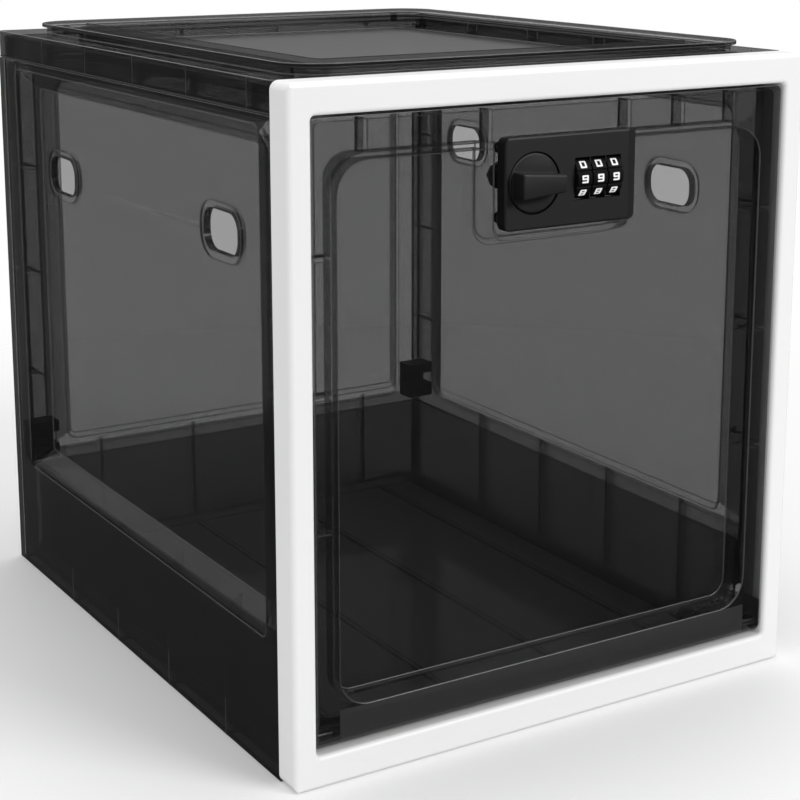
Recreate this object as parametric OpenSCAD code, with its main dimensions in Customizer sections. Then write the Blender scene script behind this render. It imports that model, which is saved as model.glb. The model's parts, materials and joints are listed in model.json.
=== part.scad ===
// Lockable storage box: smoked panels behind a white front frame, with a drop-down door
// that carries a three-dial combination lock and its turning knob.
// Millimetres. X runs across the front, Y from front to back, Z up.

/* [Box] */
// Width over the front frame
box_w = 272; // [240:1:320]
// Height from the floor to the top deck
box_h = 300; // [260:1:340]
// Depth from the front of the frame to the back panel
box_d = 334; // [300:1:400]
// Wall of the moulded smoked panels
wall = 2.5; // [2:0.1:3]
// Step between the frame's side and a panel's outer face
panel_set = 0.5; // [0.2:0.1:1]
// Gap between neighbouring panels
panel_gap = 0.3; // [0.2:0.05:0.4]

/* [Front frame] */
// Width of the two upright bars
side_bar = 11; // [10:0.5:14]
// Height of the top bar
top_bar = 13.5; // [12.5:0.5:18]
// Height of the bottom bar
bottom_bar = 14.5; // [13:0.5:20]
// Depth of the frame
frame_d = 14.5; // [14:0.1:15]
// Rounding of the frame's edges
frame_round = 2.2; // [1:0.1:3]
// Corner radius of the frame seen from the front
frame_corner = 4; // [2:0.5:8]

/* [Side and back panels] */
// Width of the flat upright band in front of a side window
band_w = 11.5; // [11:0.5:16]
// Width of the flat upright band behind a side window
rear_band = 24; // [20:0.5:30]
// Width of the flat upright bands beside the back window
back_band = 16; // [15:0.5:24]
// Height of the plain band below a window
plinth_h = 61; // [45:1:80]
// Height of the plain band above a window
window_top = 4.5; // [4.2:0.1:10]
// Depth of the sunk window
window_sink = 10; // [7:0.5:11]
// Corner radius of a window
window_r = 4; // [2:0.5:8]
// Depth of the edge flanges and stiffening ribs
flange_depth = 9; // [7:0.5:9.4]
// Thickness of a stiffening rib
rib_t = 1.5; // [1:0.1:2.5]
// Distance between the ribs
rib_pitch = 58; // [40:1:70]
// Distance between the upright ribs of the plinth
plinth_pitch = 61.8; // [40:0.1:80]

/* [Vents] */
// Length of a vent hole
vent_l = 34; // [24:1:44]
// Height of a vent hole
vent_h = 19; // [17:0.5:26]
// Corner radius of a vent hole
vent_r = 8; // [3:0.5:8.4]
// Width of the raised lip round a vent hole
vent_lip = 3.6; // [2:0.1:5]
// How far the lip stands out of the window
vent_lip_h = 1.6; // [0.5:0.1:3]
// Distance from the window's upper edge to the middle of the vents
vent_drop = 53.2; // [30:0.1:90]
// Distance from the window's front edge to the middle of the front vent
vent_front = 54.7; // [40:0.1:60]
// Distance between the two vents of one side
vent_span = 187; // [100:1:190]

/* [Top panel] */
// Height of the outer skirt
skirt_h = 14; // [13:0.5:15]
// Height of the stacking rim above the deck
rim_h = 5; // [4:0.5:8]
// Distance from the box's side to the rim
rim_inset = 14; // [12:0.5:24]
// The same at the front
rim_front = 4; // [3:0.5:12]
// Width of the flat band of the rim
rim_w = 19; // [16:0.5:30]
// Corner radius of the rim
rim_r = 20; // [12:0.5:24]
// How far the rim's flange hangs over its riser
rim_over = 2.4; // [1:0.1:4]
// Thickness of the rim's flange
rim_t = 2; // [1.5:0.1:2.5]
// Depth of the tray inside the rim
tray_depth = 10; // [7:0.5:12]

/* [Base panel] */
// Height of the base floor's underside
floor_z = 7.5; // [6:0.5:9]
// Thickness of the base floor
floor_t = 2.7; // [2:0.1:3.5]
// Height of the base's raised edge
upstand_h = 50; // [30:1:58]
// Width of the ledge on a side panel that carries the base
ledge_w = 18; // [14:0.5:24]

/* [Door] */
// Gap all round between door and frame
door_gap = 1; // [0.6:0.1:1.2]
// Distance from the frame's front to the door's front
door_set = 2; // [1:0.1:2.5]
// Distance from the opening's edge to the sunk panel, at the sides
sunk_side = 12.5; // [10:0.5:16]
// The same at the bottom
sunk_bottom = 18; // [16:0.5:22]
// The same at the top
sunk_top = 19.5; // [16:0.5:22]
// Depth of the sunk panel
sunk_depth = 11; // [8:0.5:12]
// Corner radius of the sunk panel at the door's front
sunk_r = 14.5; // [12:0.5:18]
// How far the sunk panel's side and bottom walls lean inwards, from its front to its floor
sunk_draft = 3; // [1:0.5:4]
// Distance between the ribs above the sunk panel
door_pitch = 30.5; // [24:0.5:36]
// Thickness of the door's edge wall
edge_t = 2; // [1.5:0.1:2.5]
// Radius of the rolled bottom edge, which is the hinge barrel
barrel_r = 5; // [4.5:0.1:5]
// Radius of the hinge pins
hinge_pin_r = 2; // [1.5:0.1:2.5]
// Length of a hinge pin
hinge_pin_l = 16; // [12:0.5:20]
// Length of a hinge pin inside the frame
hinge_socket = 6; // [4:0.5:8]
// Running clearance of pins, dials and spindle
run_gap = 0.06; // [0.03:0.01:0.1]

/* [Lock] */
// Width of the lock's faceplate
plate_w = 70; // [70:1:80]
// Height of the faceplate
plate_h = 40; // [40:1:44]
// Depth of the faceplate
plate_t = 6; // [5:0.5:7]
// Front wall of the faceplate
plate_wall = 2.5; // [2:0.1:3]
// Corner radius of the faceplate
plate_r = 3; // [1:0.5:5]
// Width of the bevel at the faceplate's right end
plate_bevel = 5; // [2:0.5:6]
// Distance from the top of the door opening to the faceplate
plate_top_gap = 14.5; // [14:0.5:24]
// Clear margin of the door's tab round the faceplate
tab_margin = 2; // [2:0.5:5]
// Depth of the lock's housing behind the faceplate's front wall
housing_d = 11.5; // [11:0.5:13]
// Margin from the faceplate's right side to the housing
housing_side = 6; // [6:0.1:7]
// Margin from the faceplate's top and bottom to the housing
housing_top = 3; // [3:0.1:4]
// Thickness of the lock's rear cover
cover_t = 2; // [1.5:0.1:3]

/* [Knob and latch] */
// Diameter of the knob's disc
knob_d = 26; // [22:0.5:27]
// Distance from the faceplate's left side to the knob's axis
knob_margin = 15; // [14.5:0.5:16]
// Length of the knob's grip
grip_l = 22.5; // [16:0.5:24]
// Width of the knob's grip at its thick end
grip_w = 11; // [8:0.5:12]
// Width of the knob's grip at its thin end
grip_tip = 7.4; // [4:0.1:8]
// Height of the grip above the disc
grip_h = 8.4; // [6:0.1:12]
// Radius of the knob's hub
hub_r = 5; // [4.5:0.1:6]
// Radius of the steel spindle
spindle_r = 3.5; // [3:0.1:3.8]
// Length of the latch cam from the knob's axis
cam_l = 40; // [38:0.5:41]
// Width of the latch cam
cam_w = 12; // [11:0.5:14]
// Thickness of the latch cam
cam_t = 2.5; // [2:0.1:3]
// Thickness of the strike plate
strike_t = 2; // [1.5:0.1:2.2]
// Width of the strike plate
strike_w = 26; // [20:1:40]

/* [Dials] */
// Number of dials
dial_count = 3; // [3:1:3]
// Radius of a dial
dial_r = 10.5; // [9.5:0.1:11]
// Width of a dial
dial_w = 7.6; // [6.5:0.1:7.7]
// Distance between neighbouring dials
dial_pitch = 8.4; // [8.3:0.1:8.8]
// How far a dial stands out of the faceplate
dial_proud = 2.5; // [2:0.1:3]
// Distance from the faceplate's right side to the middle dial
dial_margin = 21.5; // [20:0.1:22]
// Radius of the dial axle
axle_r = 1.5; // [1.2:0.1:2]
// Height of a dial's slot in the faceplate
slot_h = 18.5; // [18:0.5:20]
// Radius of the code change button
button_r = 2.5; // [2:0.1:3]
// Travel of the code change button
button_travel = 2; // [1:0.5:2.5]

/* [Hidden] */
$fn = 64;
hull_fn = 32;
eps = 0.01;
fit_gap = 0.2;

// Places worked out from the sizes above; Y starts at the front of the frame
cam_gap = 0.4;
front_y = -(box_d - grip_h - (plate_t - door_set)) / 2;
panel_x = box_w / 2 - panel_set;
open_x = box_w / 2 - side_bar;
open_top = box_h - top_bar;
seam_z = box_h - skirt_h - panel_gap;
window_y0 = frame_d + band_w;
window_y1 = box_d - rear_band;
window_z1 = seam_z - window_top;
vent_z = window_z1 - vent_drop;
panel_edge = wall + panel_gap;
stop_reach = side_bar + door_gap + edge_t;
flange_y = box_d - wall - panel_gap - wall;

base_x = panel_x - flange_depth - panel_gap;
base_back = box_d - flange_depth - panel_gap;
base_front = frame_d + wall + panel_gap;
lip_x = panel_x - (stop_reach - panel_set) - panel_gap;

skirt_z = box_h - skirt_h;
deck_z = box_h - wall;
rim_top = box_h + rim_h;
tray_z = rim_top - tray_depth;
top_front = frame_d + panel_gap;
rim_x = panel_x - rim_inset;
rim_y0 = top_front + rim_front;
rim_y1 = box_d - rim_inset;
tray_r = 4;
tray_rib_d = 4;

hinge_y = door_set + barrel_r;
hinge_z = bottom_bar + door_gap + barrel_r;
door_x = open_x - door_gap;
door_top = open_top - door_gap;
sunk_x = open_x - sunk_side;
sunk_z0 = bottom_bar + sunk_bottom;
sunk_z1 = open_top - sunk_top;
sunk_back = door_set + sunk_depth + wall;
edge_back = frame_d - 0.1;
door_r = 3;
open_r = 2.2 * door_gap;

plate_y = door_set - plate_t;
lock_z = open_top - plate_top_gap - plate_h / 2;
knob_x = plate_w / 2 - knob_margin;
dial_x = plate_w / 2 - dial_margin;
tab_x = plate_w / 2 + tab_margin;
tab_z0 = lock_z - plate_h / 2 - tab_margin - 3;
tab_r = 6;
housing_x = plate_w / 2 - housing_side;
housing_z = plate_h / 2 - housing_top;
housing_y = plate_y + plate_wall;
housing_back = housing_y + housing_d;
housing_left = -knob_x - hub_r - 2;
strike_y = top_front + wall + panel_gap;
strike_drop = 2.6;
strike_flange = 7;
cam_y = strike_y + strike_t + cam_gap;
boss_r = spindle_r + 1.7;
screw_inset = 3;
screw_drop = 5;
screw_x = plate_w / 2 - screw_inset;
screw_z = plate_h / 2 - screw_drop;
screw_r = 1.5;
screw_head_r = 2.4;
screw_head_t = 1.8;
cover_head_r = 2;
cover_head_t = 1;
thread_l = 5;
slot_t = 0.6;
slot_depth = 0.6;
button_l = 4.5;

dial_y = plate_y - dial_proud + dial_r;
dial_bore = axle_r + run_gap;
chamber_x = dial_count * dial_pitch / 2 + 0.1;
leaf_t = 0.5;
nose_r = 0.9;
digits = 10;
notch_z = dial_r * sin(180 / digits);
chamber_z = dial_r + 0.8;
cover_y = dial_y + dial_r + nose_r + leaf_t + leaf_t;
dial_box_wall = 1.3;
dial_box_x = dial_x - chamber_x - dial_box_wall;
axle_seat = 0.8;
axle_l = 2 * (chamber_x + axle_seat);
disc_t = 2.2;
hub_l = 9;
hub_end = housing_y + hub_l;
square_w = 5;
nut_t = 2.6;
washer_t = 0.8;
thread_r = 2.5;
button_x = hub_r + 3 - knob_x;
button_z = 6 - housing_z;
button_out = 2.4;

// Profiles and helpers

module rounded_rect(x0, x1, z0, z1, r) {
    translate([x0 + r, z0]) square([x1 - x0 - 2 * r, z1 - z0]);
    translate([x0, z0 + r]) square([x1 - x0, z1 - z0 - 2 * r]);
    for (x = [x0 + r, x1 - r], z = [z0 + r, z1 - r]) translate([x, z]) circle(r);
}

// A flat shape drawn in X and Z, extruded from y0 to y1
module along_y(y0, y1) {
    translate([0, y1, 0]) rotate([90, 0, 0]) linear_extrude(y1 - y0) children();
}

// A flat shape drawn in Y and Z, extruded from x0 to x1
module along_x(x0, x1) {
    translate([x0, 0, 0]) rotate([90, 0, 90]) linear_extrude(x1 - x0) children();
}

// A flat shape drawn in X and Y, extruded from z0 to z1
module along_z(z0, z1) {
    translate([0, 0, z0]) linear_extrude(z1 - z0) children();
}

// A round bar along Y, from y0 to y1
module rod_y(r, y0, y1) {
    translate([0, y1, 0]) rotate([90, 0, 0]) cylinder(r = r, h = y1 - y0);
}

// A round bar along X, from x0 to x1
module rod_x(r, x0, x1) {
    translate([x0, 0, 0]) rotate([0, 90, 0]) cylinder(r = r, h = x1 - x0);
}

// A box given by its two corners
module block(a, b) {
    translate(a) cube(b - a);
}

// The recess of a crosshead screw whose head ends at y, seen from behind
module cross_slot(head_r, y) {
    reach = head_r * 0.6;
    for (a = [0, 90]) rotate([0, a, 0])
        block([-reach, y - slot_depth, -slot_t / 2], [reach, y + eps, slot_t / 2]);
}

module in_box() {
    translate([0, front_y, 0]) children();
}

// The lock's own axes: its middle at the faceplate's centre
module in_lock() {
    in_box() translate([0, 0, lock_z]) children();
}

module on_knob() {
    in_lock() translate([-knob_x, 0, 0]) children();
}

smoke = [0.16, 0.16, 0.17, 0.55];
black = [0.06, 0.06, 0.065];
steel = [0.62, 0.63, 0.65];

// Front frame

module bar_profile(y1, w) {
    difference() {
        translate([0, 0]) square([y1, w]);
        difference() {
            translate([-eps, w - frame_round]) square([frame_round + eps, frame_round + eps]);
            translate([frame_round, w - frame_round]) circle(frame_round);
        }
    }
}

// Everything inside the frame's rounded outside
module frame_envelope() {
    r = frame_round;
    intersection() {
        along_y(0, frame_d) rounded_rect(-box_w / 2, box_w / 2, 0, box_h, frame_corner);
        along_x(-box_w / 2, box_w / 2) rounded_rect(0, frame_d + 2 * r, 0, box_h, r);
        along_z(0, box_h) rounded_rect(-box_w / 2, box_w / 2, 0, frame_d + 2 * r, r);
    }
}

module frame_bars() {
    along_x(-box_w / 2, box_w / 2) bar_profile(frame_d, bottom_bar);
    translate([0, 0, box_h]) mirror([0, 0, 1])
        along_x(-box_w / 2, box_w / 2) bar_profile(frame_d, top_bar);
    for (s = [0, 1]) mirror([s, 0, 0]) translate([-box_w / 2, 0, 0])
        along_z(0, box_h) rotate(90) mirror([0, 1]) bar_profile(frame_d, side_bar);
}

// The rounded corners of the opening, with the bars' rounded front edge carried round them
module opening_corners() {
    c = open_r + frame_round;
    for (s = [0, 1], low = [0, 1]) mirror([s, 0, 0])
        translate([open_x - open_r, 0, low ? bottom_bar + open_r : open_top - open_r])
            mirror([0, 0, low]) difference() {
                block([0, 0, 0], [c, frame_d, c]);
                rotate([-90, 0, 0]) rotate_extrude() difference() {
                    translate([0, -eps]) square([c, frame_d + 2 * eps]);
                    translate([c, frame_round]) circle(frame_round);
                    translate([open_r, frame_round]) square([frame_round + eps, frame_d]);
                }
            }
}

module hinge_sockets() {
    for (s = [0, 1]) mirror([s, 0, 0]) translate([0, hinge_y, hinge_z])
        rod_x(hinge_pin_r, open_x - eps, open_x + hinge_socket);
}

// Pockets in the frame's back for the side panels' snap lugs
lug_h = 12;
lug_t = 2;
lug_l = 4;
lug_z = [for (k = [-1, 0, 1]) box_h / 2 + k * box_h * 0.3];

module lug_pockets() {
    for (s = [0, 1], z = lug_z) mirror([s, 0, 0])
        block([panel_x - wall - lug_t - panel_gap, frame_d - lug_l - panel_gap, z - lug_h / 2 - panel_gap],
            [panel_x - wall + panel_gap, frame_d + eps, z + lug_h / 2 + panel_gap]);
}

module front_frame() {
    in_box() color("whitesmoke") difference() {
        intersection() {
            frame_envelope();
            union() {
                frame_bars();
                opening_corners();
            }
        }
        hinge_sockets();
        lug_pockets();
    }
}

// Sunk window shared by the side and back panels. It is drawn with the outer face at
// depth 0 and the sunk face at window_sink, from a to b across and z0 to z1 up.

module window_slope(a, b, z0, z1, grow) {
    sunk = window_sink + grow;
    r = window_r + grow;
    hull($fn = hull_fn) {
        translate([0, 0, -eps]) linear_extrude(eps)
            rounded_rect(a - grow, b + grow, z0 - grow, z1 + grow, r, $fn = hull_fn);
        translate([0, 0, sunk - eps]) linear_extrude(eps)
            rounded_rect(a + window_sink - grow, b - window_sink + grow, z0 + window_sink - grow,
                z1 - window_sink + grow, r, $fn = hull_fn);
    }
}

// Side panels

module side_window(grow) {
    rotate([90, 0, 90]) window_slope(window_y0, window_y1, plinth_h, window_z1, grow);
}

module vent(l, h, r, x0, x1) {
    for (k = [0, 1]) along_x(x0, x1) translate([window_y0 + vent_front + k * vent_span, vent_z])
        rounded_rect(-l / 2, l / 2, -h / 2, h / 2, r);
}

// Ribs in the middle of equal bays between two edges
function bay_middles(from, to, pitch) =
    let (n = max(1, round((to - from) / pitch)))
    [for (k = [1 : n]) from + (to - from) * (k - 0.5) / n];

plinth_margin = 41;
skirt_margin = 21;
skirt_ribs_y = [for (y = [top_front + skirt_margin : rib_pitch : box_d - 2 * wall]) y];
upright_ribs_z = [for (z = [seam_z - rib_pitch : -rib_pitch : plinth_h + window_sink]) z];
plinth_ribs_y = [for (y = [window_y0 + plinth_margin : plinth_pitch : window_y1 - plinth_margin]) y];

module side_flanges() {
    // Front flange, which is also the door's stop
    block([0, frame_d, 0], [panel_x - lip_x - panel_gap, frame_d + wall, seam_z]);
    // Rear flange behind the back panel, top flange and base ledge
    block([0, flange_y, 0], [flange_depth, flange_y + wall, seam_z]);
    block([0, frame_d, seam_z - wall], [flange_depth, flange_y + wall, seam_z]);
    block([0, frame_d, floor_z - wall], [ledge_w, flange_y + wall, floor_z]);
}

module side_ribs() {
    for (z = upright_ribs_z) {
        block([0, frame_d, z - rib_t / 2], [flange_depth, window_y0 + window_sink, z + rib_t / 2]);
        block([0, window_y1 - window_sink, z - rib_t / 2], [flange_depth, flange_y + eps, z + rib_t / 2]);
    }
    for (y = plinth_ribs_y)
        block([0, y - rib_t / 2, 0], [flange_depth, y + rib_t / 2, plinth_h + window_sink]);
}

// The rim on the panel's top stands inside the top panel's skirt, with slots for the skirt's ribs
module top_tongue() {
    difference() {
        block([panel_edge, strike_y, seam_z - eps],
            [panel_edge + wall, box_d - panel_edge, deck_z - panel_gap]);
        for (y = skirt_ribs_y)
            block([0, y - rib_t / 2 - panel_gap, seam_z], [flange_depth, y + rib_t / 2 + panel_gap, box_h]);
    }
}

// The foot's inner wall, below the ledge that carries the base
module inner_foot() {
    block([flange_depth - wall, frame_d, 0], [flange_depth, flange_y + wall, floor_z - wall + eps]);
}

module snap_lugs() {
    for (z = lug_z)
        block([wall, frame_d - lug_l, z - lug_h / 2], [wall + lug_t, frame_d + eps, z + lug_h / 2]);
}

module side_panel() {
    difference() {
        union() {
            along_x(0, wall) translate([frame_d, 0]) square([box_d - frame_d, seam_z]);
            side_window(wall);
            side_flanges();
            side_ribs();
            snap_lugs();
            top_tongue();
            inner_foot();
            vent(vent_l + 2 * vent_lip, vent_h + 2 * vent_lip, vent_r + vent_lip,
                window_sink - vent_lip_h, window_sink + wall);
        }
        difference() {
            side_window(0);
            vent(vent_l + 2 * vent_lip, vent_h + 2 * vent_lip, vent_r + vent_lip,
                window_sink - vent_lip_h, window_sink + wall);
        }
        vent(vent_l, vent_h, vent_r, window_sink - vent_lip_h - 1, window_sink + wall + 1);
    }
}

module left_panel() {
    in_box() color(smoke) translate([-panel_x, 0, 0]) side_panel();
}

module right_panel() {
    in_box() color(smoke) mirror([1, 0, 0]) translate([-panel_x, 0, 0]) side_panel();
}

// Back panel, held between the side panels and behind their rear flanges

back_x = panel_x - panel_edge;
back_window = back_x - back_band;

module back_window_slope(grow) {
    translate([0, box_d, 0]) rotate([90, 0, 0])
        window_slope(-back_window, back_window, plinth_h, window_z1, grow);
}

module back_panel() {
    in_box() color(smoke) difference() {
        union() {
            block([-back_x, box_d - wall, 0], [back_x, box_d, seam_z]);
            back_window_slope(wall);
            for (x = bay_middles(-back_window, back_window, rib_pitch))
                block([x - rib_t / 2, box_d - flange_depth, floor_z + floor_t + panel_gap],
                    [x + rib_t / 2, box_d, plinth_h + window_sink]);
            for (z = [floor_z, seam_z - wall])
                block([-back_window, box_d - flange_depth, z], [back_window, box_d, z + wall]);
        }
        back_window_slope(0);
    }
}

// Top panel: skirt, deck, overhanging rim and sunk tray in one moulding

module top_outline(inset, r) {
    rounded_rect(-panel_x + inset, panel_x - inset, top_front + inset, box_d - inset, r);
}

module rim_outline(grow, r) {
    rounded_rect(-rim_x - grow, rim_x + grow, rim_y0 - grow, rim_y1 + grow, r);
}

tray_margin = 44;

module skirt_ribs() {
    for (s = [0, 1], y = skirt_ribs_y) mirror([s, 0, 0])
        block([panel_x - flange_depth, y - rib_t / 2, skirt_z + wall], [panel_x, y + rib_t / 2, box_h]);
    for (x = bay_middles(-rim_x, rim_x, rib_pitch))
        block([x - rib_t / 2, box_d - flange_depth, skirt_z + wall], [x + rib_t / 2, box_d, box_h]);
}

// Short ribs on the outside of the tray's wall
module tray_ribs() {
    x = rim_x - rim_w;
    for (s = [0, 1], y = [top_front + tray_margin : rib_pitch : rim_y1 - rim_w]) mirror([s, 0, 0])
        block([x - eps, y - rib_t / 2, tray_z - wall], [x + tray_rib_d, y + rib_t / 2, deck_z + eps]);
}

module top_panel() {
    in_box() color(smoke) difference() {
        union() {
            along_z(skirt_z, box_h) top_outline(0, 3);
            along_z(box_h - eps, rim_top - rim_t + eps) rim_outline(-rim_over, rim_r - rim_over);
            along_z(rim_top - rim_t, rim_top) rim_outline(0, rim_r);
        }
        // Space under the deck, outside the tray's wall
        difference() {
            along_z(skirt_z - 1, deck_z) top_outline(wall, 1);
            along_z(skirt_z - 2, rim_top) rim_outline(-rim_w, tray_r + wall);
            skirt_ribs();
            tray_ribs();
        }
        // Space under the rim's flange
        difference() {
            along_z(deck_z - eps, rim_top - rim_t) rim_outline(-rim_over - wall, rim_r - rim_over - wall);
            along_z(deck_z - 1, rim_top) rim_outline(-rim_w, tray_r + wall);
        }
        // The tray, open at the top, and the space below its floor
        along_z(tray_z, rim_top + 1) rim_outline(-rim_w - wall, tray_r);
        along_z(skirt_z - 1, tray_z - wall) rim_outline(-rim_w - wall, tray_r);
    }
}

// Base panel: a floor with a raised edge that stands inside the side panels

module base_outline(inset, r) {
    rounded_rect(-base_x + inset, base_x - inset, base_front + inset, base_back - inset, r);
}

module base_panel() {
    top_z = floor_z + upstand_h;
    in_box() color(smoke) difference() {
        union() {
            along_z(floor_z, top_z) base_outline(0, 2);
            // Front lip between the side panels' flanges, up to the frame
            block([-lip_x, frame_d + panel_gap, floor_z], [lip_x, base_front + wall, bottom_bar]);
            for (x = bay_middles(-base_x, base_x, rib_pitch))
                block([x - rib_t / 2, base_front + wall, floor_z - wall],
                    [x + rib_t / 2, base_back - wall, floor_z + eps]);
        }
        along_z(floor_z + floor_t, top_z + 1) base_outline(wall, 2);
        block([-base_x - 1, base_front - 1, bottom_bar], [base_x + 1, base_front + wall + 1, top_z + 1]);
    }
}

// Clips that hold the side panels to the back panel at the rear corners

clip_h = 21;
clip_d = 12;
clip_w = 16.5;
clip_wall = 2;
clip_foot = 8;
clip_head = 6;

// Each clip is notched from the front, between its foot and its head
module corner_clips() {
    y0 = flange_y - panel_gap - clip_d;
    in_box() color(black) for (s = [0, 1]) mirror([s, 0, 0]) translate([panel_edge - panel_x, y0, plinth_h])
        difference() {
            cube([clip_w, clip_d, clip_h]);
            block([-1, -1, clip_foot], [clip_w + 1, clip_d - clip_wall, clip_h - clip_head]);
        }
}

// Hinge pins pressed into the frame

module hinge_pins() {
    in_box() color(steel) for (s = [0, 1]) mirror([s, 0, 0]) translate([0, hinge_y, hinge_z])
        rod_x(hinge_pin_r, open_x + hinge_socket - hinge_pin_l, open_x + hinge_socket);
}

// Strike plate that the latch cam turns up behind

strike_screw_y = strike_y + strike_t + strike_flange / 2;
strike_head_r = 2;

module strike_screw_places() {
    for (s = [-1, 1]) translate([s * strike_w / 3 - knob_x, strike_screw_y, 0]) children();
}

module strike_plate() {
    x0 = -knob_x - strike_w / 2;
    x1 = x0 + strike_w;
    in_box() color(steel) difference() {
        union() {
            block([x0, strike_y, seam_z - strike_drop], [x1, strike_y + strike_t, deck_z]);
            block([x0, strike_y, deck_z - strike_t], [x1, strike_y + strike_t + strike_flange, deck_z]);
        }
        strike_screw_places() cylinder(r = screw_r, h = box_h);
    }
}

module strike_screws() {
    in_box() color(steel) strike_screw_places() translate([0, 0, deck_z - strike_t]) difference() {
        union() {
            translate([0, 0, -screw_head_t])
                cylinder(r1 = strike_head_r - 0.5, r2 = strike_head_r, h = screw_head_t);
            cylinder(r = screw_r, h = strike_t);
        }
        rotate([-90, 0, 0]) cross_slot(strike_head_r - 0.5, screw_head_t);
    }
}

// Door: edge wall, flange, sunk panel and the tab that carries the lock

// A hollow whose walls lean in from its front outline, drawn first, to its floor, drawn second
module leaning(y0, y1) {
    hull() {
        along_y(y0, y0 + eps) children(0);
        along_y(y1 - eps, y1) children(1);
    }
}

module pan_outline(grow, lean) {
    g = grow - lean;
    r = sunk_r + grow - 2 * lean;
    rounded_rect(-sunk_x - g, sunk_x + g, sunk_z0 - g, sunk_z1 + grow, r, $fn = hull_fn);
}

module tab_outline(grow, lean) {
    g = lean - grow;
    rounded_rect(-tab_x - g, tab_x + g, tab_z0 - g, box_h, tab_r + g, $fn = hull_fn);
}

module sunk_space(grow, y0, y1) {
    difference() {
        leaning(y0, y1) {
            pan_outline(grow, 0);
            pan_outline(grow, sunk_draft);
        }
        leaning(y0 - eps, y1 + eps) {
            tab_outline(grow, 0);
            tab_outline(grow, sunk_draft);
        }
    }
}

module door_outline(inset) {
    difference() {
        rounded_rect(-door_x + inset, door_x - inset, 0, door_top - inset, door_r);
        translate([-box_w, -eps]) square([2 * box_w, hinge_z + (inset > 0 ? barrel_r : 0) + eps]);
    }
}

module door_ribs() {
    y1 = edge_back - 2;
    for (s = [0, 1], x = [tab_x : door_pitch : sunk_x - wall]) mirror([s, 0, 0])
        block([x - rib_t / 2, door_set, sunk_z1], [x + rib_t / 2, y1, door_top - edge_t / 2]);
    for (s = [0, 1], z = upright_ribs_z) mirror([s, 0, 0])
        block([sunk_x - sunk_draft / 2, door_set, z - rib_t / 2], [door_x - edge_t / 2, y1, z + rib_t / 2]);
}

module door_panel() {
    in_box() color(smoke) difference() {
        union() {
            difference() {
                along_y(door_set, edge_back) door_outline(0);
                along_y(door_set + wall, edge_back + 1) door_outline(edge_t);
            }
            sunk_space(wall, door_set, sunk_back);
            door_ribs();
            translate([0, hinge_y, hinge_z]) rod_x(barrel_r, -door_x, door_x);
        }
        sunk_space(0, door_set - eps, sunk_back - wall);
        translate([0, hinge_y, hinge_z]) rod_x(hinge_pin_r + run_gap, -door_x - 1, door_x + 1);
        // The lock's housing and its screws pass through the tab
        block([housing_left - fit_gap, door_set - 1, lock_z - housing_z - fit_gap],
            [housing_x + fit_gap, sunk_back + 1, lock_z + housing_z + fit_gap]);
        for (x = [-screw_x, screw_x], z = [lock_z - screw_z, lock_z + screw_z])
            translate([x, 0, z]) rod_y(screw_r + 0.2, door_set - 1, door_set + wall + 1);
    }
}

// Lock, on the door's tab

module plate_envelope() {
    r = 1;
    intersection() {
        along_y(plate_y, door_set)
            rounded_rect(-plate_w / 2, plate_w / 2, -plate_h / 2, plate_h / 2, plate_r);
        along_x(-plate_w / 2, plate_w / 2)
            rounded_rect(plate_y, door_set + 2 * r, -plate_h / 2, plate_h / 2, r);
        along_z(-plate_h / 2, plate_h / 2)
            rounded_rect(-plate_w / 2, plate_w / 2, plate_y, door_set + 2 * r, r);
    }
}

module dial_places() {
    for (k = [0 : dial_count - 1])
        translate([dial_x + (k - (dial_count - 1) / 2) * dial_pitch, dial_y, 0]) children();
}

module lock_faceplate() {
    slot_w = dial_w + 0.4;
    in_lock() color(black) difference() {
        plate_envelope();
        // Rear pocket for the housing
        block([housing_left - fit_gap, housing_y, -housing_z - fit_gap],
            [housing_x + fit_gap, door_set + 1, housing_z + fit_gap]);
        // Bevel at the right end
        along_z(-plate_h, plate_h) polygon([[plate_w / 2 - plate_bevel, plate_y - eps],
            [plate_w / 2 + 1, plate_y - eps], [plate_w / 2 + 1, plate_y + 1.9]]);
        translate([-knob_x, 0, 0]) rod_y(knob_d / 2 + 0.6, plate_y - 1, housing_y + eps);
        dial_places() {
            rod_x(dial_r + 0.4, -slot_w / 2, slot_w / 2);
            block([-slot_w / 2, -dial_r - dial_proud, -slot_h / 2], [slot_w / 2, 0, slot_h / 2]);
        }
        for (x = [-screw_x, screw_x], z = [-screw_z, screw_z])
            translate([x, 0, z]) rod_y(screw_r, housing_y, door_set + 1);
    }
}

module button_place() {
    translate([button_x, 0, button_z]) children();
}

module cover_screw_places() {
    z = (chamber_z + housing_z) / 2;
    for (a = [-1, 1], b = [-z, z]) translate([dial_x + a * chamber_x * 0.7, 0, b]) children();
}

module dial_box(y0, y1) {
    along_y(y0, y1) rounded_rect(dial_box_x, housing_x, -housing_z, housing_z, 1.5);
}

// A shallow body with the box for the dials and the spindle's boss standing on its back
module lock_housing() {
    in_lock() color(black) difference() {
        union() {
            along_y(housing_y, housing_back)
                rounded_rect(housing_left, housing_x, -housing_z, housing_z, 1.5);
            dial_box(housing_y, cover_y);
            translate([-knob_x, 0, 0]) rod_y(boss_r, housing_y, cam_y - cam_gap);
        }
        // Chamber of the dials and the detent spring
        block([dial_x - chamber_x, housing_y - 1, -chamber_z],
            [dial_x + chamber_x, cover_y + 1, chamber_z]);
        translate([dial_x, dial_y, 0]) rod_x(axle_r, -axle_l / 2, axle_l / 2);
        translate([-knob_x, 0, 0]) {
            rod_y(hub_r + run_gap, housing_y - 1, hub_end + 0.3);
            rod_y(spindle_r + run_gap, hub_end, cam_y);
        }
        button_place()
            rod_y(button_r + run_gap, housing_back - button_l - button_travel - fit_gap, cam_y);
        cover_screw_places() rod_y(screw_r, cover_y - thread_l, cover_y + 1);
    }
}

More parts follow.
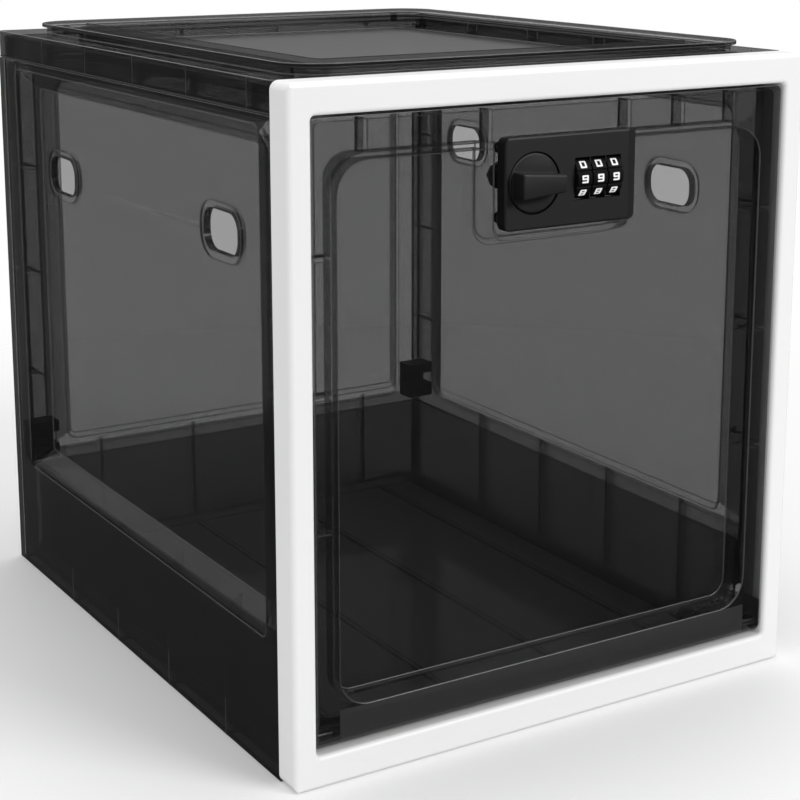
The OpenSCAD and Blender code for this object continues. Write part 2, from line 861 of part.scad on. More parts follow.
module lock_rear_cover() {
    in_lock() color(black) difference() {
        dial_box(cover_y, cover_y + cover_t);
        cover_screw_places() {
            rod_y(screw_r, cover_y - 1, cover_y + cover_t + 1);
            rod_y(cover_head_r, cover_y + cover_t - cover_head_t, cover_y + cover_t + 1);
        }
    }
}

module dial_axle() {
    in_lock() color(steel) translate([dial_x, dial_y, 0]) rod_x(axle_r, -axle_l / 2, axle_l / 2);
}

// A leaf with one finger for each dial, whose nose rests at the dial's notches
module dial_detent_spring() {
    finger = dial_w / 2 - 1;
    leaf_x = chamber_x - panel_gap;
    foot_h = 4;
    y0 = cover_y - leaf_t;
    in_lock() color(steel) {
        block([dial_x - leaf_x, y0, -dial_r], [dial_x + leaf_x, cover_y, foot_h - dial_r]);
        dial_places() {
            block([-finger, y0 - dial_y, -dial_r], [finger, cover_y - dial_y, notch_z + nose_r]);
            translate([0, cover_y - dial_y - nose_r, notch_z]) rod_x(nose_r, -finger, finger);
        }
    }
}

module lock_screws() {
    head_y = door_set + wall;
    in_lock() color(steel) for (x = [-screw_x, screw_x], z = [-screw_z, screw_z])
        translate([x, 0, z]) difference() {
            union() {
                rod_y(screw_r, housing_y + 0.4, head_y + eps);
                rod_y(screw_head_r, head_y, head_y + screw_head_t);
            }
            cross_slot(screw_head_r, head_y + screw_head_t);
        }
}

module cover_screws() {
    head_y = cover_y + cover_t - cover_head_t;
    in_lock() color(steel) cover_screw_places() difference() {
        union() {
            rod_y(screw_r, cover_y - thread_l + fit_gap, head_y + eps);
            rod_y(cover_head_r, head_y, cover_y + cover_t);
        }
        cross_slot(cover_head_r, cover_y + cover_t);
    }
}

// Dials: ten flats for the numbers, with a finger notch between neighbours

module dial() {
    notch_r = 0.9;
    difference() {
        rod_x(dial_r, -dial_w / 2, dial_w / 2);
        rod_x(dial_bore, -dial_w, dial_w);
        for (k = [0 : digits - 1]) rotate([(k + 0.5) * 360 / digits, 0, 0])
            translate([0, -dial_r - notch_r * 0.35, 0]) rod_x(notch_r, -dial_w, dial_w);
    }
}

module dial_node(k) {
    in_lock() color(black)
        translate([dial_x + (k - (dial_count - 1) / 2) * dial_pitch, dial_y, 0]) dial();
}

module dial_left() { dial_node(0); }

module dial_middle() { dial_node(1); }

module dial_right() { dial_node(2); }

// Knob, spindle and latch cam, which turn together

// The grip is a block with rounded edges, thicker at its left end at rest
module grip() {
    r = 0.8;
    hull($fn = hull_fn) for (s = [-1, 1], y = [plate_y - grip_h + r, plate_y + r], t = [-1, 1])
        translate([s * (grip_l / 2 - r), y, t * ((s < 0 ? grip_w : grip_tip) / 2 - r)]) sphere(r);
}

module lock_knob() {
    edge = 0.5;
    disc_r = knob_d / 2;
    on_knob() color(black) difference() {
        union() {
            grip();
            translate([0, plate_y, 0]) rotate([-90, 0, 0]) rotate_extrude()
                polygon([[0, 0], [disc_r - edge, 0], [disc_r, edge], [disc_r, disc_t], [0, disc_t]]);
            rod_y(hub_r, plate_y + disc_t - eps, hub_end);
        }
        rod_y(spindle_r, plate_y + disc_t, hub_end + 1);
    }
}

module lock_spindle() {
    end = cam_y + cam_t + washer_t + nut_t + 0.6;
    on_knob() color(steel) {
        rod_y(spindle_r, plate_y + disc_t, cam_y);
        block([-square_w / 2, cam_y - eps, -square_w / 2], [square_w / 2, cam_y + cam_t, square_w / 2]);
        rod_y(thread_r, cam_y + cam_t - eps, end);
    }
}

module latch_cam() {
    on_knob() color(steel) difference() {
        along_y(cam_y, cam_y + cam_t) {
            circle(cam_w / 2);
            translate([0, -cam_w / 2]) square([cam_l - cam_w / 2, cam_w]);
            rounded_rect(cam_l - cam_w, cam_l, -cam_w / 2, cam_w / 2, cam_w / 3);
        }
        block([-square_w / 2, cam_y - 1, -square_w / 2], [square_w / 2, cam_y + cam_t + 1, square_w / 2]);
    }
}

module cam_washer() {
    on_knob() color(steel) difference() {
        rod_y(5, cam_y + cam_t, cam_y + cam_t + washer_t);
        rod_y(thread_r, cam_y, cam_y + cam_t + washer_t + 1);
    }
}

module cam_nut() {
    nut_across = 8;
    y0 = cam_y + cam_t + washer_t;
    on_knob() color(steel) difference() {
        translate([0, y0 + nut_t, 0]) rotate([90, 0, 0])
            cylinder(r = nut_across / 2 / cos(30), h = nut_t, $fn = 6);
        rod_y(thread_r, y0 - 1, y0 + nut_t + 1);
    }
}

// Push button that lets the owner set a new code, reached from behind the open door

module code_change_button() {
    in_lock() color("firebrick") button_place()
        rod_y(button_r, housing_back - button_l, housing_back + button_out);
}

front_frame();
left_panel();
right_panel();
back_panel();
top_panel();
base_panel();
corner_clips();
hinge_pins();
strike_plate();
strike_screws();
door_panel();
lock_faceplate();
lock_housing();
lock_rear_cover();
dial_axle();
dial_detent_spring();
lock_screws();
cover_screws();
dial_left();
dial_middle();
dial_right();
lock_knob();
lock_spindle();
latch_cam();
cam_washer();
cam_nut();
code_change_button();
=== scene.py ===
import json
import math

import bmesh
import bpy
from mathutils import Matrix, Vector
from mathutils.bvhtree import BVHTree


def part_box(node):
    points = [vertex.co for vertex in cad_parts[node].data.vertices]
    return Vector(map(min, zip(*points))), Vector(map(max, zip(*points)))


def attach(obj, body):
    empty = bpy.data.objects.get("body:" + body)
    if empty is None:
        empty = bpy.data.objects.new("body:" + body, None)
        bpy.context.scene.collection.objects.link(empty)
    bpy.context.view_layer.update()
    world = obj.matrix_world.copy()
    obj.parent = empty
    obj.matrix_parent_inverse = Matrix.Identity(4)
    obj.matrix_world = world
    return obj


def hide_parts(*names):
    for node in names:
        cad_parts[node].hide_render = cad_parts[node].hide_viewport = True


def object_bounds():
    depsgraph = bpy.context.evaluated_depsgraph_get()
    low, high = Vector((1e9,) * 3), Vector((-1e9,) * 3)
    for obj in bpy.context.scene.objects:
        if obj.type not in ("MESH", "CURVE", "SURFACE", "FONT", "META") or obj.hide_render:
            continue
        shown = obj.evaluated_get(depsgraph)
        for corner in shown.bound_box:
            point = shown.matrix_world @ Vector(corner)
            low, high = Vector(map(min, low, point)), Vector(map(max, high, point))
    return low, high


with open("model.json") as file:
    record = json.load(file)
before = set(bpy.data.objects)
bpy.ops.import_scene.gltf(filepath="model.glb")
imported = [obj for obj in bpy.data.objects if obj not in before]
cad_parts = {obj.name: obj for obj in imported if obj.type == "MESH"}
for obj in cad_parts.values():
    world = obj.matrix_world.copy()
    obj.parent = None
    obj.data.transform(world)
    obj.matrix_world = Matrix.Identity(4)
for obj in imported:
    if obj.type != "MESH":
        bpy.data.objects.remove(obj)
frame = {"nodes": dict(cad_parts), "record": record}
cadLow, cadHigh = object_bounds()
nodes = frame["nodes"]
mm = 0.001  # metres in a millimetre
hair = 0.01 * mm  # places closer than this count as one
squarely = 0.99  # a face looks straight along an axis from here on
print("frame loaded,", len(nodes), "pieces")


# Small tools for node trees

class Socket:  # a socket that can be used in sums, such as 1 - mask * 0.3
    def __init__(self, tree, source):
        self.tree = tree
        self.source = source

    def sum(self, operation, first, second):
        return self.tree.node("ShaderNodeMath", {"operation": operation}, {0: first, 1: second})

    def __add__(self, other):
        return self.sum("ADD", self, other)

    __radd__ = __add__

    def __sub__(self, other):
        return self.sum("SUBTRACT", self, other)

    def __rsub__(self, other):
        return self.sum("SUBTRACT", other, self)

    def __mul__(self, other):
        return self.sum("MULTIPLY", self, other)

    def __truediv__(self, other):
        return self.sum("DIVIDE", self, other)


class Tree:  # a material's or a modifier's nodes, added one call at a time
    def __init__(self, nodeTree):
        self.nodeTree = nodeTree
        nodeTree.nodes.clear()

    def node(self, kind, settings=None, values=None, out=0):
        made = self.nodeTree.nodes.new(kind)
        for name, value in (settings or {}).items():
            setattr(made, name, value)
        for name, value in (values or {}).items():
            if isinstance(value, Socket):
                self.nodeTree.links.new(value.source, made.inputs[name])
            else:
                made.inputs[name].default_value = value
        return Socket(self, made.outputs[out]) if made.outputs else None

    def more(self, socket, name):  # another output of the same node
        return Socket(self, socket.source.node.outputs[name])


def grey(level):
    return (level, level, level, 1)


def material(name, build, **looks):
    made = bpy.data.materials.new(name)
    made.use_nodes = True
    tree = Tree(made.node_tree)
    shader = build(tree, looks)
    tree.node("ShaderNodeOutputMaterial", None, {"Surface": shader})
    made.diffuse_color = looks.get("color", grey(0.5))
    return made


def principled(tree, looks, **extra):
    values = {
        "Base Color": looks["color"],
        "Roughness": looks["rough"],
        "Metallic": looks.get("metal", 0.0),
        "IOR": looks.get("ior", 1.5),
        "Alpha": looks.get("alpha", 1.0),
    }
    values.update(extra)
    return tree.node("ShaderNodeBsdfPrincipled", None, values)


# Finishes

def objectNoise(tree, scale, detail=3.0, stretch=(1, 1, 1)):
    place = tree.node("ShaderNodeTexCoord", out="Object")
    place = tree.node("ShaderNodeMapping", None, {"Vector": place, "Scale": stretch})
    return tree.node("ShaderNodeTexNoise", None, {"Vector": place, "Scale": scale, "Detail": detail})


def satinShell(tree, looks):  # moulded plastic with a faint grain
    grain = objectNoise(tree, looks["grain"])
    bump = tree.node("ShaderNodeBump", None, {
        "Height": grain, "Strength": looks["bump"], "Distance": 0.02 * mm})
    rough = looks["rough"] - 0.04 + grain * 0.08
    return principled(tree, looks, Normal=bump, Roughness=rough)


def smokedShell(tree, looks):  # see-through plastic, faintly uneven in its gloss
    flow = objectNoise(tree, looks["flow"], detail=1.0)
    rough = looks["rough"] + flow * 0.03
    return principled(tree, looks, Roughness=rough)


def brushedSteel(tree, looks):
    streaks = objectNoise(tree, looks["streaks"], stretch=(1, 1, 12))
    rough = looks["rough"] - 0.08 + streaks * 0.16
    return principled(tree, looks, Roughness=rough)


finishes = {
    "white_frame": material("whiteFrame", satinShell, color=grey(0.86), rough=0.36, grain=900.0, bump=0.12),
    "lock_black": material("lockBlack", satinShell, color=grey(0.004), rough=0.52, ior=1.48,
                           grain=2200.0, bump=0.3),
    "dial_black": material("dialBlack", satinShell, color=grey(0.003), rough=0.6, ior=1.2,
                           grain=2600.0, bump=0.8),
    "clip_black": material("clipBlack", satinShell, color=grey(0.012), rough=0.5, grain=900.0, bump=0.2),
    "steel": material("zincSteel", brushedSteel, color=grey(0.5), rough=0.32, metal=1.0, streaks=300.0),
    "spring_steel": material("springSteel", brushedSteel, color=grey(0.45), rough=0.25, metal=1.0,
                             streaks=300.0),
    "button_red": material("buttonRed", satinShell, color=(0.3, 0.02, 0.015, 1), rough=0.4,
                           grain=900.0, bump=0.2),
}
digitWhite = material("digitWhite", satinShell, color=grey(0.9), rough=0.5, grain=1500.0, bump=0.1)

# A face of the smoked plastic lets through less light the thicker the plastic behind it is
smokedSteps = [  # deepest plastic in millimetres, and how much one face holds back
    (2.0, 0.32),
    (3.2, 0.44),
    (6.5, 0.66),
    (math.inf, 0.9),
]
bandLooks = {  # edges and chosen bands look different; the edges' lighter grey is a painted highlight on the rounded edges, which also catch real reflections
    "edge": {"color": grey(0.06), "alpha": 0.85, "rough": 0.22},
    "dense": {"alpha": 0.78},
    "satin": {"alpha": 0.94, "rough": 0.34, "ior": 1.48, "grain": 1400.0, "bump": 0.35},
}
edgeHighlightSlot, denseSlot, satinSlot = (len(smokedSteps) + extra for extra in range(3))


def smokedSet(name, rough, flow, satinGrey):  # one finish for each depth, then edge with its painted highlight, dense and satin
    looks = {"color": grey(0.006), "rough": rough, "ior": 1.48, "flow": flow}
    steps = [material(f"{name}{number}", smokedShell, alpha=alpha, **looks)
             for number, (deepest, alpha) in enumerate(smokedSteps)]
    # the edge finish's lighter grey paints a highlight along the rounded edges
    edge = material(name + "EdgeHighlight", smokedShell, **{**looks, **bandLooks["edge"]})
    dense = material(name + "Dense", smokedShell, **{**looks, **bandLooks["dense"]})
    satin = material(name + "Satin", satinShell, color=grey(satinGrey), **bandLooks["satin"])
    return steps + [edge, dense, satin]


smoked = {
    "smoked_plastic": smokedSet("smokedPlastic", 0.06, 30.0, 0.012),
    "smoked_door": smokedSet("smokedDoor", 0.04, 22.0, 0.026),
}
print("finishes made")

slotOf = {part["node"]: part["material_slot"] for part in frame["record"]["subparts"]}
bodyOf = {name: body for body, names in frame["record"]["behaviour"]["bodies"].items() for name in names}
for name, piece in nodes.items():
    if slotOf[name] in finishes:
        piece.data.materials.clear()
        piece.data.materials.append(finishes[slotOf[name]])


# Pieces

def addPiece(name, mesh, body):
    piece = bpy.data.objects.new(name, mesh)
    bpy.context.scene.collection.objects.link(piece)
    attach(piece, body)
    return piece


def plasticBehind(faces, tree):  # how far through plastic a line runs inwards from each face
    depths = {face.index: [] for face in faces.faces}
    for corners in faces.calc_loop_triangles():
        first, second, third = (corner.vert.co for corner in corners)
        face = corners[0].face
        area = (second - first).cross(third - first).length / 2
        for share in ((1 / 3, 1 / 3, 1 / 3), (0.6, 0.2, 0.2), (0.2, 0.6, 0.2), (0.2, 0.2, 0.6)):
            spot = first * share[0] + second * share[1] + third * share[2]
            inwards = -face.normal
            reached = tree.ray_cast(spot + inwards * hair, inwards)[3] or 1
            depths[face.index].append((reached / mm, area))
    return depths


usualWall = 2.5  # millimetres, for a face too small to be measured


def middle(samples):  # the depth that half of the face's area stays under
    samples = sorted(samples)
    half = sum(area for depth, area in samples) / 2
    for depth, area in samples:
        half -= area
        if half <= 0:
            return depth
    return samples[-1][0] if samples else usualWall


rounding = {  # the same for every rounded piece
    "merge": 0.02 * mm,  # corners closer than this become one
    "flatAngle": 1,  # degrees below which neighbouring faces become one
    "edgeAngle": 35,  # degrees above which an edge is rounded
    "segments": 2,
}
smokedPieces = {
    **rounding,
    "nodes": ["left_panel", "right_panel", "back_panel", "top_panel", "base_panel", "door_panel"],
    "edge": 0.45 * mm,
    "plinthTop": 61 * mm,
    "rearBand": 24 * mm,
    "trayFloor": 295 * mm,
    "windowSlope": {"out": 0.4, "up": 0.3, "depth": 12 * mm},  # how it faces, and how deep it reaches
    "skin": 2 * mm,
    "upright": 0.1,  # an upright face leans up or down by less than this
    "forwards": -0.9,  # a face that looks forwards has less than this along Y
    "leftwards": -0.3,  # a face that looks left has less than this along X
    "ventLip": (7 * mm, 9.5 * mm),  # how far behind the panel's face the lip round a vent stands
    "doorLedge": (113 * mm, 32.5 * mm),  # how far it reaches to both sides, and its top
    "doorWall": ((98 * mm, 114 * mm), (-158 * mm, -148 * mm)),  # right wall of the sunk front, along X and Y
}
sidePanels = ("left_panel", "right_panel")
windowPanels = sidePanels + ("back_panel",)


def cutAcross(shaped, axis, place):  # splits flat faces along a plane, so that both parts can look different
    at, along = Vector((0, 0, 0)), Vector((0, 0, 0))
    at[axis], along[axis] = place, 1
    everything = shaped.verts[:] + shaped.edges[:] + shaped.faces[:]
    bmesh.ops.bisect_plane(shaped, geom=everything, dist=hair, plane_co=at, plane_no=along)


def splitBands(shaped, node, look):
    if node in windowPanels:
        cutAcross(shaped, 2, look["plinthTop"])
    if node in sidePanels:
        cutAcross(shaped, 1, cadHigh[1] - look["rearBand"])
    if node == "door_panel":
        reach, top = look["doorLedge"]
        for axis, place in ((2, top), (0, reach), (0, -reach)):
            cutAcross(shaped, axis, place)


def topLook(place, way, look):  # satin in the tray, dense on the skirt
    if way.z > squarely and abs(place.z - look["trayFloor"]) < mm:
        return satinSlot
    skirt = abs(place.x) > cadHigh[0] - mm or place.y > cadHigh[1] - mm
    return denseSlot if skirt and abs(way.z) < look["upright"] else None


def doorLook(place, way, look):  # satin on the ledge, dense on the right wall of the sunk front
    reach, top = look["doorLedge"]
    if way.y < look["forwards"] and place.z < top and abs(place.x) < reach:
        return satinSlot
    (nearX, farX), (nearY, farY) = look["doorWall"]
    wall = way.x < look["leftwards"] and nearX < place.x < farX and nearY < place.y < farY
    return denseSlot if wall else None


def windowLook(place, way, look, node):  # dense on slopes, plinth and rear band, clear on the vents' lips
    back = node == "back_panel"
    outwards = way.y if back else way.x * math.copysign(1, place.x)
    depth = cadHigh[1] - place.y if back else cadHigh[0] - abs(place.x)
    slope = look["windowSlope"]
    if slope["out"] < outwards < squarely and way.z < slope["up"] and depth < slope["depth"]:
        return denseSlot  # all of the window's slopes but the lower one
    if outwards > squarely and look["ventLip"][0] < depth < look["ventLip"][1]:
        return 0
    if outwards > squarely and depth < look["skin"]:
        rear = not back and place.y > cadHigh[1] - look["rearBand"]
        return denseSlot if rear or place.z < look["plinthTop"] else None
    return None


def specialLook(face, node, look):  # the slot of a face in a band, or None where its depth decides
    place, way = face.calc_center_median(), face.normal
    if node == "top_panel":
        return topLook(place, way, look)
    if node == "door_panel":
        return doorLook(place, way, look)
    return windowLook(place, way, look, node) if node in windowPanels else None


def shadeByDepth(shaped, node, look):
    splitBands(shaped, node, look)
    shaped.normal_update()
    shaped.faces.index_update()
    depths = plasticBehind(shaped, BVHTree.FromBMesh(shaped))
    for face in shaped.faces:
        depth = middle(depths[face.index])
        step = next(step for step, limit in enumerate(smokedSteps) if depth <= limit[0])
        special = specialLook(face, node, look)
        face.material_index = step if special is None else special


def roundedCopy(node, look, finishSet):  # takes a solid's place with its edges rounded
    shaped = bmesh.new()
    shaped.from_mesh(nodes[node].data)
    bmesh.ops.remove_doubles(shaped, verts=shaped.verts, dist=look["merge"])
    bmesh.ops.dissolve_limit(shaped, angle_limit=math.radians(look["flatAngle"]), verts=shaped.verts,
                             edges=shaped.edges)
    seeThrough = len(finishSet) > 1
    if seeThrough:
        shadeByDepth(shaped, node, look)
    for face in shaped.faces:
        face.smooth = True
    mesh = bpy.data.meshes.new(node + "Shell")
    shaped.to_mesh(mesh)
    shaped.free()
    mesh.set_sharp_from_angle(angle=math.radians(look["edgeAngle"]))
    for finish in finishSet:
        mesh.materials.append(finish)
    piece = addPiece(node + "Shell", mesh, bodyOf[node])
    bevel = piece.modifiers.new("edges", "BEVEL")
    bevel.width = look["edge"]
    bevel.segments = look["segments"]
    bevel.limit_method = "ANGLE"
    bevel.angle_limit = math.radians(look["edgeAngle"])
    bevel.use_clamp_overlap = False
    bevel.harden_normals = True
    # the rounded edges take the edge finish, a painted highlight in lighter grey
    bevel.material = edgeHighlightSlot if seeThrough else -1
    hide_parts(node)


for node in smokedPieces["nodes"]:
    roundedCopy(node, smokedPieces, smoked[slotOf[node]])
    print("rounded", node)

turningKnob = {
    **rounding,
    "edge": 0.22 * mm,
}
roundedCopy("lock_knob", turningKnob, [finishes["lock_black"]])
print("rounded lock_knob")


# Rows of shapes, made by node trees

def openGroup(name, inputs):  # a node group that takes the named inputs and gives geometry
    group = bpy.data.node_groups.new(name, "GeometryNodeTree")
    sockets = {}
    for socket, kind in inputs.items():
        made = group.interface.new_socket(socket, in_out="INPUT", socket_type="NodeSocket" + kind)
        sockets[socket] = made.identifier
    group.interface.new_socket("Geometry", in_out="OUTPUT", socket_type="NodeSocketGeometry")
    return group, sockets, Tree(group)


def evaluated(group, sockets, values, start):  # runs a node tree once on a mesh and gives the finished mesh
    holder = bpy.data.objects.new(start.name, start)
    bpy.context.scene.collection.objects.link(holder)
    modifier = holder.modifiers.new("build", "NODES")
    modifier.node_group = group
    for socket, value in values.items():
        modifier[sockets[socket]] = value
    bpy.context.view_layer.update()
    mesh = bpy.data.meshes.new_from_object(holder.evaluated_get(bpy.context.evaluated_depsgraph_get()))
    bpy.data.objects.remove(holder)
    return mesh


# Painted highlights: fine light lines on the outer walls where ribs stand behind them, along the skirt's
# lower edge and on the tray's ribs

noFade = (306, 307)  # above the box, so that the line keeps its strength
ribHighlightLines = {  # in millimetres: first place, step, count, size of one line, height where it is full and gone
    "sides": [
        {"first": (135.5, -93.8, 17.0), "step": (0, 61.8, 0), "count": 4,
         "size": (0.12, 0.5, 34.0), "fade": (10, 34)},
        {"first": (135.5, -125.0, 292.7), "step": (0, 58.0, 0), "count": 6,
         "size": (0.12, 0.4, 12.6), "fade": noFade},
        {"first": (135.5, 13.6, 286.4), "step": (0, 1, 0), "count": 1,
         "size": (0.12, 317.0, 0.5), "fade": noFade},
    ],
    "back": [
        {"first": (0, 173.14, 286.4), "step": (0, 1, 0), "count": 1,
         "size": (267.0, 0.12, 0.5), "fade": noFade},
    ],
    "tray": [
        {"first": (95.95, -52.0, 300.4), "step": (0, 57.0, 0), "count": 3,
         "size": (0.12, 0.6, 6.0), "fade": noFade},
        {"first": (95.95, -61.0, 299.6), "step": (0, 57.0, 0), "count": 3,
         "size": (0.12, 0.6, 3.4), "fade": noFade},
    ],
    "panels": {  # the rows of each panel, and the side of the box that they are on
        "left_panel": ("sides", -1),
        "right_panel": ("sides", 1),
        "back_panel": ("back", 1),
        "top_panel": ("tray", 1),
    },
    # the lines' lighter grey is the painted highlight
    "looks": {"color": grey(0.07), "rough": 0.3, "alpha": 0.85},
}


def rowTree():  # a row of thin bars, each one step from the last
    group, sockets, tree = openGroup("barRow", {
        "Start": "Vector", "Step": "Vector", "Count": "Int", "Size": "Vector", "Finish": "Material"})
    start = tree.node("NodeGroupInput", out="Start")
    points = tree.node("GeometryNodeMeshLine", None, {
        "Start Location": start, "Offset": tree.more(start, "Step"), "Count": tree.more(start, "Count")})
    bar = tree.node("GeometryNodeMeshCube", None, {"Size": tree.more(start, "Size")})
    row = tree.node("GeometryNodeInstanceOnPoints", None, {"Points": points, "Instance": bar})
    row = tree.node("GeometryNodeRealizeInstances", None, {"Geometry": row})
    row = tree.node("GeometryNodeSetMaterial", None, {
        "Geometry": row, "Material": tree.more(start, "Finish")})
    tree.node("NodeGroupOutput", None, {"Geometry": row})
    return group, sockets


def fadingHighlight(tree, looks):  # a painted highlight line that fades out upwards
    place = tree.node("ShaderNodeTexCoord", out="Object")
    height = tree.node("ShaderNodeSeparateXYZ", None, {0: place}, out="Z")
    full, gone = looks["fade"]
    there = tree.node("ShaderNodeMapRange", {"interpolation_type": "SMOOTHSTEP"}, {
        "Value": height, "From Min": full * mm, "From Max": gone * mm,
        "To Min": looks["alpha"], "To Max": 0.0})
    grain = objectNoise(tree, 500.0)
    return principled(tree, looks, Alpha=there * (0.7 + grain * 0.6))


def drawRibHighlights(look):
    group, sockets = rowTree()
    for panel, (rows, side) in look["panels"].items():
        for number, row in enumerate(look[rows]):
            name = f"{panel}Lines{number}"
            first = Vector(row["first"]) * mm
            first.x *= side
            mesh = evaluated(group, sockets, {
                "Start": first, "Step": Vector(row["step"]) * mm, "Count": row["count"],
                "Size": Vector(row["size"]) * mm,
                "Finish": material(f"{panel}Line{number}", fadingHighlight, fade=row["fade"], **look["looks"]),
            }, bpy.data.meshes.new(name))
            piece = addPiece(name, mesh, "root")


# draws the painted highlight lines
drawRibHighlights(ribHighlightLines)
print("rib lines drawn")

# White digits printed round the dials

digitPrint = {
    "rows": {  # three cells across and five down, from the top
        0: "111 101 101 101 111",
        1: "010 110 010 010 111",
        2: "111 001 111 100 111",
        3: "111 001 111 001 111",
        4: "101 101 111 001 001",
        5: "111 100 111 001 111",
        6: "111 100 111 101 111",
        7: "111 001 001 001 001",
        8: "111 101 111 101 111",
        9: "111 101 111 001 111",
    },
    "across": [0.95 * mm, 1.5 * mm, 0.95 * mm],
    "down": [0.75 * mm, 0.62 * mm, 0.7 * mm, 0.62 * mm, 0.75 * mm],
    "corner": 0.4 * mm,
    "thick": 0.08 * mm,
    "front": 9,  # the digit that faces forwards at rest
    "dials": ["dial_left", "dial_middle", "dial_right"],
}


def digitStrip(look, radius):  # all ten digits in one flat column, a tenth of a turn apart
    strip = bmesh.new()
    left = -sum(look["across"]) / 2
    edges = [left + sum(look["across"][:count]) for count in range(4)]
    for digit, rows in look["rows"].items():
        turns = (digit - look["front"] + 5) % 10 - 5
        top = turns * radius * math.tau / 10 + sum(look["down"]) / 2
        for cells, tall in zip(rows.split(), look["down"]):
            for column, filled in enumerate(cells):
                if filled == "1":
                    spots = [(edges[column], top), (edges[column], top - tall),
                             (edges[column + 1], top - tall), (edges[column + 1], top)]
                    strip.faces.new([strip.verts.new((x, 0, z)) for x, z in spots])
            top -= tall
    bmesh.ops.remove_doubles(strip, verts=strip.verts, dist=hair)
    outer = [vert for vert in strip.verts if len(vert.link_faces) == 1]
    bmesh.ops.bevel(strip, geom=outer, offset=look["corner"], segments=3, profile=0.5, affect="VERTICES")
    mesh = bpy.data.meshes.new("digitStrip")
    strip.to_mesh(mesh)
    strip.free()
    return mesh


def wrapTree():  # thickens a flat strip and rolls it round an axis along X
    group, sockets, tree = openGroup("wrapRound", {
        "Geometry": "Geometry", "Centre": "Vector", "Radius": "Float", "Thickness": "Float",
        "Print": "Material"})
    start = tree.node("NodeGroupInput", out="Geometry")
    radius = tree.more(start, "Radius")
    raised = tree.node("GeometryNodeExtrudeMesh", {"mode": "FACES"}, {
        "Mesh": start, "Offset": (0, -1, 0), "Offset Scale": tree.more(start, "Thickness"),
        "Individual": False})
    across = tree.node("ShaderNodeSeparateXYZ", None, {0: tree.node("GeometryNodeInputPosition")}, out="X")
    reach = radius - tree.more(across, "Y")
    angle = tree.more(across, "Z") / radius
    rise = reach * tree.node("ShaderNodeMath", {"operation": "SINE"}, {0: angle})
    ahead = reach * tree.node("ShaderNodeMath", {"operation": "COSINE"}, {0: angle})
    rolled = tree.node("ShaderNodeCombineXYZ", None, {"X": across, "Y": 0 - ahead, "Z": rise})
    rolled = tree.node("ShaderNodeVectorMath", {"operation": "ADD"}, {
        0: rolled, 1: tree.more(start, "Centre")})
    placed = tree.node("GeometryNodeSetPosition", None, {"Geometry": raised, "Position": rolled})
    placed = tree.node("GeometryNodeRealizeInstances", None, {"Geometry": placed})
    placed = tree.node("GeometryNodeSetMaterial", None, {
        "Geometry": placed, "Material": tree.more(start, "Print")})
    tree.node("NodeGroupOutput", None, {"Geometry": placed})
    return group, sockets


def printDigits(look):
    group, sockets = wrapTree()
    for name in look["dials"]:
        low, high = (Vector(corner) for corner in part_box(name))
        radius = (high.z - low.z) / 2
        mesh = evaluated(group, sockets, {
            "Centre": (low + high) / 2, "Radius": radius, "Thickness": look["thick"], "Print": digitWhite,
        }, digitStrip(look, radius))
        piece = addPiece(name + "Digits", mesh, bodyOf[name])


printDigits(digitPrint)
print("pieces made")


# Camera, floor and light

photoCamera = {
    "place": (-464.4 * mm, -782.1 * mm, 370.8 * mm),
    "turn": 31.45,  # degrees from looking straight at the door
    "down": 11.71,  # degrees below level
    "lens": 81.46,
    "sensor": 36,
    "shiftY": -0.16,
    "clip": (0.02, 60),
}


def addCamera(look):
    data = bpy.data.cameras.new("camera")
    data.lens = look["lens"]
    data.sensor_width = look["sensor"]
    data.shift_y = look["shiftY"]
    data.clip_start, data.clip_end = look["clip"]
    camera = bpy.data.objects.new("camera", data)
    camera.location = look["place"]
    camera.rotation_euler = (math.radians(90 - look["down"]), 0, -math.radians(look["turn"]))
    bpy.context.scene.collection.objects.link(camera)
    bpy.context.scene.camera = camera


def addLamp(name, place, target, size, power):
    data = bpy.data.lights.new(name, "AREA")
    data.shape = "RECTANGLE"
    data.size, data.size_y = size
    data.energy = power
    lamp = bpy.data.objects.new(name, data)
    lamp.location = place
    lamp.rotation_euler = (Vector(target) - Vector(place)).to_track_quat("-Z", "Y").to_euler()
    bpy.context.scene.collection.objects.link(lamp)


def addWorld(level):
    world = bpy.data.worlds.new("studio")
    world.use_nodes = True
    tree = Tree(world.node_tree)
    path = tree.node("ShaderNodeLightPath", out="Is Camera Ray")
    seen = path + tree.more(path, "Is Glossy Ray") + tree.more(path, "Is Transmission Ray")
    seen = tree.node("ShaderNodeMath", {"operation": "MULTIPLY", "use_clamp": True}, {0: seen, 1: 1.0})
    strength = level + seen * (1 - level)
    back = tree.node("ShaderNodeBackground", None, {"Color": grey(1), "Strength": strength})
    tree.node("ShaderNodeOutputWorld", None, {"Surface": back})
    bpy.context.scene.world = world


def fadingFloor(tree, looks):  # plain near the box, and gone where the white background takes over
    place = tree.node("ShaderNodeTexCoord", out="Object")
    away = tree.node("ShaderNodeVectorMath", {"operation": "LENGTH"}, {0: place}, out="Value")
    near = tree.node("ShaderNodeMapRange", {"interpolation_type": "SMOOTHSTEP"}, {
        "Value": away, "From Min": looks["fadeStart"], "From Max": looks["fadeEnd"],
        "To Min": 1.0, "To Max": 0.0})
    floor = principled(tree, looks, **{"Specular IOR Level": 0.0})
    gone = tree.node("ShaderNodeBsdfTransparent")
    return tree.node("ShaderNodeMixShader", None, {0: near, 1: gone, 2: floor})


darkCloth = {
    "radius": 3.0,
    "low": -0.02,
    "tall": 1.0,
    "folds": 48,
    "finish": {"color": grey(0.1), "rough": 0.9, "grain": 40.0, "bump": 0.1},
}


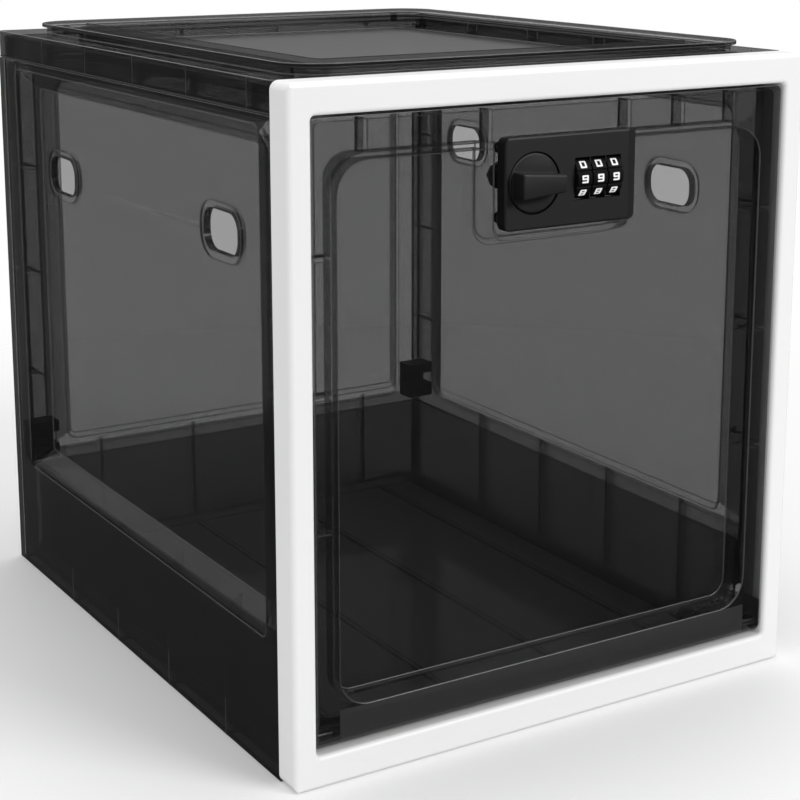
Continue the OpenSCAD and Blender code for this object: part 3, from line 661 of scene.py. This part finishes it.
def addCloth(look):  # dark cloth low round the box, which only mirror reflections see
    cloth = bmesh.new()
    bmesh.ops.create_cone(cloth, cap_ends=False, segments=look["folds"], radius1=look["radius"],
                          radius2=look["radius"], depth=look["tall"])
    bmesh.ops.translate(cloth, verts=cloth.verts, vec=(0, 0, look["tall"] / 2 + look["low"]))
    low = [vert for vert in cloth.verts if vert.co.z < look["low"] + mm]
    cloth.faces.new(sorted(low, key=lambda vert: math.atan2(vert.co.y, vert.co.x)))
    mesh = bpy.data.meshes.new("darkCloth")
    cloth.to_mesh(mesh)
    cloth.free()
    mesh.materials.append(material("darkCloth", satinShell, **look["finish"]))
    piece = bpy.data.objects.new("darkCloth", mesh)
    bpy.context.scene.collection.objects.link(piece)
    for sight in ("camera", "diffuse", "transmission", "volume_scatter", "shadow"):
        setattr(piece, "visible_" + sight, False)


paleFloor = {
    "width": 8,
    "below": 0.05 * mm,  # keeps clear of the box's foot
    "finish": {"color": grey(0.95), "rough": 0.9, "fadeStart": 0.35, "fadeEnd": 0.8},
}


def addFloor(look):
    mesh = bpy.data.meshes.new("floor")
    half = look["width"] / 2
    corners = [(-half, -half, 0), (half, -half, 0), (half, half, 0), (-half, half, 0)]
    mesh.from_pydata(corners, [], [(0, 1, 2, 3)])
    floor = bpy.data.objects.new("floor", mesh)
    floor.location.z = -look["below"]
    bpy.context.scene.collection.objects.link(floor)
    mesh.materials.append(material("paleFloor", fadingFloor, **look["finish"]))
    floor.visible_glossy = False


studioLight = {
    "surroundings": 0.6,
    "lamps": [  # name, place, what it is aimed at, width and height, watts
        ("keyLamp", (0.8, -1.7, 1.1), (0, 0, 0.15), (0.9, 0.45), 18),
        ("topLamp", (0.1, 0.2, 1.6), (0, 0, 0.2), (1.0, 0.8), 8),
        ("leftLamp", (-1.5, -0.2, 0.9), (0, 0, 0.15), (0.5, 0.9), 4),
    ],
}

addCamera(photoCamera)
addWorld(studioLight["surroundings"])
addFloor(paleFloor)
addCloth(darkCloth)
for lamp in studioLight["lamps"]:
    addLamp(*lamp)
bpy.context.scene.view_settings.view_transform = "Standard"
bpy.context.scene.cycles.transparent_max_bounces = 40
print("camera, light and floor placed")
